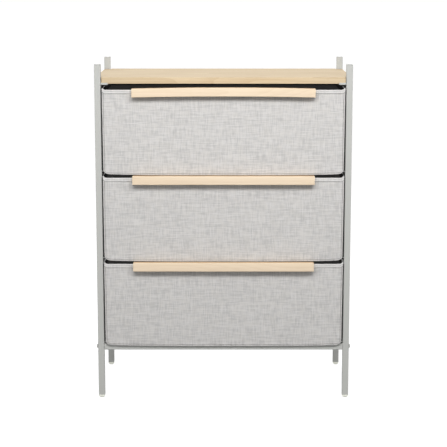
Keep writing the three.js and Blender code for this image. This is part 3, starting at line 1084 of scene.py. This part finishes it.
def inset_place(station, inset, high):
    """A station's point moved inwards. It stops at the fold where two panels meet."""
    (x, y), (out_x, out_y), _ = station
    reach = high.x - inset
    moved_x = max(-reach, min(reach, x - out_x * inset))
    return moved_x, min(high.y - inset, y - out_y * inset)


def wall_ring(station, outline, low, high):
    """The outline set up at one station of the run, sunk in a little where the panel is free."""
    (x, y), (out_x, out_y), share = station
    ring = []
    for inset, z, _ in outline:
        freedom = math.sin(math.pi * (z - low.z) / (high.z - low.z))
        bow = wall_bow * math.sin(math.pi * share) * freedom
        bow += ripple_height * noise.noise(Vector((x, y, z)) * ripple_scale) * freedom
        place_x, place_y = inset_place(station, inset, high)
        ring.append((place_x + out_x * bow, place_y + out_y * bow, z))
    return ring


def make_box(level):
    low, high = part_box(f"{level}_drawer_walls")
    run = wall_run(low, high)
    outline = wall_outline(low, high)
    edge = [inset_place(station, floor_seam, high) for station in run]
    floor_rings = [[(x, y, z) for x, y in edge] for z in (low.z, low.z + floor_thickness)]
    skin = Skin()
    skin.loft(
        [wall_ring(station, outline, low, high) for station in run],
        kind=lambda step, side: outline[side][2],
    )
    skin.kinds[-2:] = [tape_kind, tape_kind]
    skin.loft(floor_rings)
    piece = set_piece(
        f"{level}_felt_box", skin, ["drawer_felt", "tape"], f"{level}_drawer",
        [f"{level}_drawer_walls", f"{level}_drawer_floor"], sharp=60,
    )
    return piece


boxes = [make_box(level) for level in levels]
print("boxes:", [(box.name, len(box.data.vertices)) for box in boxes])

# %% [markdown]
# ## Stitches
# A sewn line is a row of short, slightly bowed pieces of thread with gaps where the thread dives
# into the cloth. Each stitch here is a small spindle of rings that starts and ends in the cloth,
# and all the stitches of a drawer are one piece.

# %% Lay stitches along a line
stitch_length = 3 * mm
stitch_gap = 0.9 * mm
thread_radius = 0.22 * mm
thread_sides = 5
# How far along the stitch, how thick there, and how far out in thread radii.
stitch_bow = [(0, 0.35, -0.6), (0.18, 0.9, 0.35), (0.5, 1, 0.7), (0.82, 0.9, 0.35), (1, 0.35, -0.6)]


def circle(centre, first, second, radius, sides):
    """Points round a centre, in the plane of two directions."""
    turns = [2 * math.pi * side / sides for side in range(sides)]
    return [centre + (first * math.cos(turn) + second * math.sin(turn)) * radius for turn in turns]


def add_stitch(skin, start, end, outward):
    """One stitch from start to end, which bows outward."""
    across = (end - start).cross(outward).normalized()
    rings = []
    for share, size, lift in stitch_bow:
        centre = start.lerp(end, share) + outward * thread_radius * lift
        rings.append(circle(centre, across, outward, thread_radius * size, thread_sides))
    skin.loft(rings)


def sew(skin, start, end, outward):
    """A straight row of stitches. Gives how many were made."""
    start, end, outward = Vector(start), Vector(end), Vector(outward)
    length = (end - start).length
    made = 0
    passed = 0
    while passed + stitch_length <= length:
        first = start.lerp(end, passed / length)
        last = start.lerp(end, (passed + stitch_length) / length)
        add_stitch(skin, first, last, outward)
        passed += stitch_length + stitch_gap
        made += 1
    return made


# %% Sew the drawers
hem_seam_inset = 9 * mm
hem_seam_sink = 0.8
rim_seam_drop = 0.1 * mm
rim_seam_sink = 0.15 * mm
rim_seam_ease = 12 * mm


def hem_runs(level):
    """The seam under a front's hem: one run between the ears, as start, end and way out."""
    low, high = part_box(f"{level}_drawer_front")
    z = high.z - ear_rise - hem_depth
    y = low.y + seam_depth * hem_seam_sink
    reach = high.x - hem_seam_inset
    return [((-reach, y, z), (reach, y, z), (0, -1, 0))]


def rim_runs(level):
    """The seam under the bound rim of a box: along one side, the back and the other side."""
    low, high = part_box(f"{level}_drawer_walls")
    z = high.z - wall_rim_hem - rim_seam_drop
    side, rear = high.x - rim_seam_sink, high.y - rim_seam_sink
    front_end, rear_end = low.y + rim_seam_ease, high.y - rim_seam_ease
    reach = side - rim_seam_ease
    return [
        ((-side, front_end, z), (-side, rear_end, z), (-1, 0, 0)),
        ((-reach, rear, z), (reach, rear, z), (0, 1, 0)),
        ((side, rear_end, z), (side, front_end, z), (1, 0, 0)),
    ]


def sew_piece(name, level, runs, thread):
    skin = Skin()
    made = sum(sew(skin, *run) for run in runs)
    seams = set_piece(name, skin, [thread], f"{level}_drawer")
    print(seams.name, made, "stitches")


for level in levels:
    sew_piece(f"{level}_hem_stitches", level, hem_runs(level), "linen_thread")
    sew_piece(f"{level}_rim_stitches", level, rim_runs(level), "felt_thread")

# %% [markdown]
# ## Glides
# A glide is a moulded plug. The part that shows is a short foot, square like the tube, which
# draws in to a rounded sole. It is a stack of rounded squares, from the sole up into the tube.

# %% Make the glides
# Height and inset of each ring in mm: the foot, and the plug in the tube.
glide_foot = [(0, 4.2), (0.25, 3.4), (1, 2.7), (2.4, 1.7), (3.8, 0.6), (4.8, 0.15), (5.6, 0), (6.8, 0)]
glide_plug = [(7.0, 0.25), (7.0, 1.6), (17, 1.9)]
glide_corner = 1.8 * mm
corner_growth = 0.3
roundest = 0.6


def rounded_square(centre, half, radius, z):
    corners = [Vector((centre[0] + x * half, centre[1] + y * half)) for x, y in square_corners]
    return [(point.x, point.y, z) for point in rounded_ring(corners, radius)]


def make_glide(name):
    low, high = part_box(name)
    centre = ((low.x + high.x) / 2, (low.y + high.y) / 2)
    half = (high.x - low.x) / 2
    rings = []
    for height, inset in glide_foot + glide_plug:
        side = half - inset * mm
        corner = min(glide_corner + inset * corner_growth * mm, side * roundest)
        rings.append(rounded_square(centre, side, corner, height * mm))
    skin = Skin()
    skin.loft(rings)
    piece = set_piece(f"{name}_foot", skin, ["glide_plastic"], "frame", [name], sharp=40)
    return piece


glides = [make_glide(name) for name in frame["nodes"] if name.endswith("_foot_glide")]
print("glides:", len(glides))

# %% [markdown]
# ## Bolts
# The rails are held by button-head bolts: a low dome with a hexagonal socket. A dome is a curve
# spun round an axis, and the socket is a six-sided ring stepped inward, so one stack of rings
# with the same number of points makes both.

# %% Rings of a bolt
# Reach and height of each ring in mm, with the height counted from the tip and from under the
# head. A ring without a reach follows the socket.
bolt_tip = [(2.2, 0), (3.0, 1.2)]
dome = [(3.0, 0), (5.05, 0), (5.25, 0.25), (5.2, 0.7), (4.75, 1.7), (4.0, 2.5), (3.2, 3.05), (2.7, 3.3)]
socket = [(None, 3.25), (None, 1.3), (0.4, 0.8)]
socket_half = 2.15
head_height = 3.3
bolt_sides = 36


def bolt_ring(centre, out, radius, height):
    ring = []
    for side in range(bolt_sides):
        turn = 2 * math.pi * side / bolt_sides
        from_flat = (turn + math.pi / 6) % (math.pi / 3) - math.pi / 6
        reach = socket_half / math.cos(from_flat) if radius is None else radius
        spot = (out * height * mm, reach * mm * math.cos(turn), reach * mm * math.sin(turn))
        ring.append(centre + Vector(spot))
    return ring


# %% Make the bolts
def out_and_in(low, high):
    """Which way is out, and the outer and inner x, of a piece beside the middle."""
    return (-1, low.x, high.x) if low.x + high.x < 0 else (1, high.x, low.x)


def make_bolt(name):
    low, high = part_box(name)
    out, top, tip = out_and_in(low, high)
    base = top - out * head_height * mm
    centre = Vector((base, (low.y + high.y) / 2, (low.z + high.z) / 2))
    shank = abs(tip - base) / mm
    stack = [(radius, height - shank) for radius, height in bolt_tip] + dome + socket
    skin = Skin()
    skin.loft([bolt_ring(centre, out, radius, height) for radius, height in stack])
    piece = set_piece(f"{name}_head", skin, ["bolt_steel"], "frame", [name], sharp=35)
    return piece


bolts = [make_bolt(name) for name in frame["nodes"] if name.endswith("_rail_bolt")]
print("bolts:", len(bolts))

# %% [markdown]
# ## Weld beads
# The side rails and the runners are welded to the posts, and the bead shows under the powder as
# a small rippled fillet: over, down and under the end of a rail, and down the web of a runner.
# It is a thick line that follows the joint, and its thickness ripples as the weld was laid.

# %% Where the beads lie
bead_start = 2 * mm
bead_corner = 0.6 * mm
web_margin = 1.5 * mm


def rail_corners(low, high, y):
    """Three sides of a side rail's end, from its inner top edge to its inner bottom edge."""
    out, outer, inner = out_and_in(low, high)
    start = inner + out * bead_start
    turn = outer - out * bead_corner
    corners = [(start, y, high.z), (turn, y, high.z), (outer, y, high.z - bead_corner)]
    return corners + [(outer, y, low.z + bead_corner), (turn, y, low.z), (start, y, low.z)]


def web_corners(low, high, y):
    """Down the outside of a runner's web, where it meets a post."""
    _, outer, _ = out_and_in(low, high)
    return [(outer, y, high.z - web_margin), (outer, y, low.z + web_margin)]


# %% Make the weld beads
bead_radius = 1.15 * mm
bead_sides = 8
bead_step = 0.5 * mm
ripple_pitch = 1.6 * mm
ripple_share = 0.1
end_size = 0.35
end_steps = 3


def bead_path(corners):
    """Points one step apart along a line with corners."""
    corners = [Vector(corner) for corner in corners]
    path = [corners[0]]
    for start, end in zip(corners, corners[1:]):
        steps = max(1, round((end - start).length / bead_step))
        path += [start.lerp(end, step / steps) for step in range(1, steps + 1)]
    return path


def add_bead(skin, path):
    side = Vector((0, 1, 0))
    rings = []
    travelled = 0
    for number, point in enumerate(path):
        before = path[max(0, number - 1)]
        after = path[min(len(path) - 1, number + 1)]
        travelled += (point - before).length
        up = (after - before).cross(side).normalized()
        from_end = min(1, number / end_steps, (len(path) - 1 - number) / end_steps)
        wave = math.cos(2 * math.pi * travelled / ripple_pitch)
        size = bead_radius * (1 - ripple_share + ripple_share * wave)
        size *= end_size + (1 - end_size) * from_end
        rings.append(circle(point, side, up, size, bead_sides))
    skin.loft(rings)


skin = Skin()
rail_low, rail_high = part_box("left_top_rail")
for y in (rail_low.y, rail_high.y):
    for side in ("left", "right"):
        add_bead(skin, bead_path(rail_corners(*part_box(f"{side}_top_rail"), y)))
        for level in levels:
            add_bead(skin, bead_path(web_corners(*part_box(f"{level}_{side}_runner"), y)))
beads = set_piece("weld_beads", skin, ["powder_coated_steel"], "frame")
print("weld beads:", len(beads.data.vertices), "points")

# %% [markdown]
# ## Size
# The dressed model has to keep the solid model's size. Both boxes are written down, so that they
# can be laid side by side.

# %% Write the two boxes and finish
dressed_low, dressed_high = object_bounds()
for axis, solid, dressed in zip("xyz", solid_high - solid_low, dressed_high - dressed_low):
    print(axis, "solid", round(solid, 4), "dressed", round(dressed, 4))
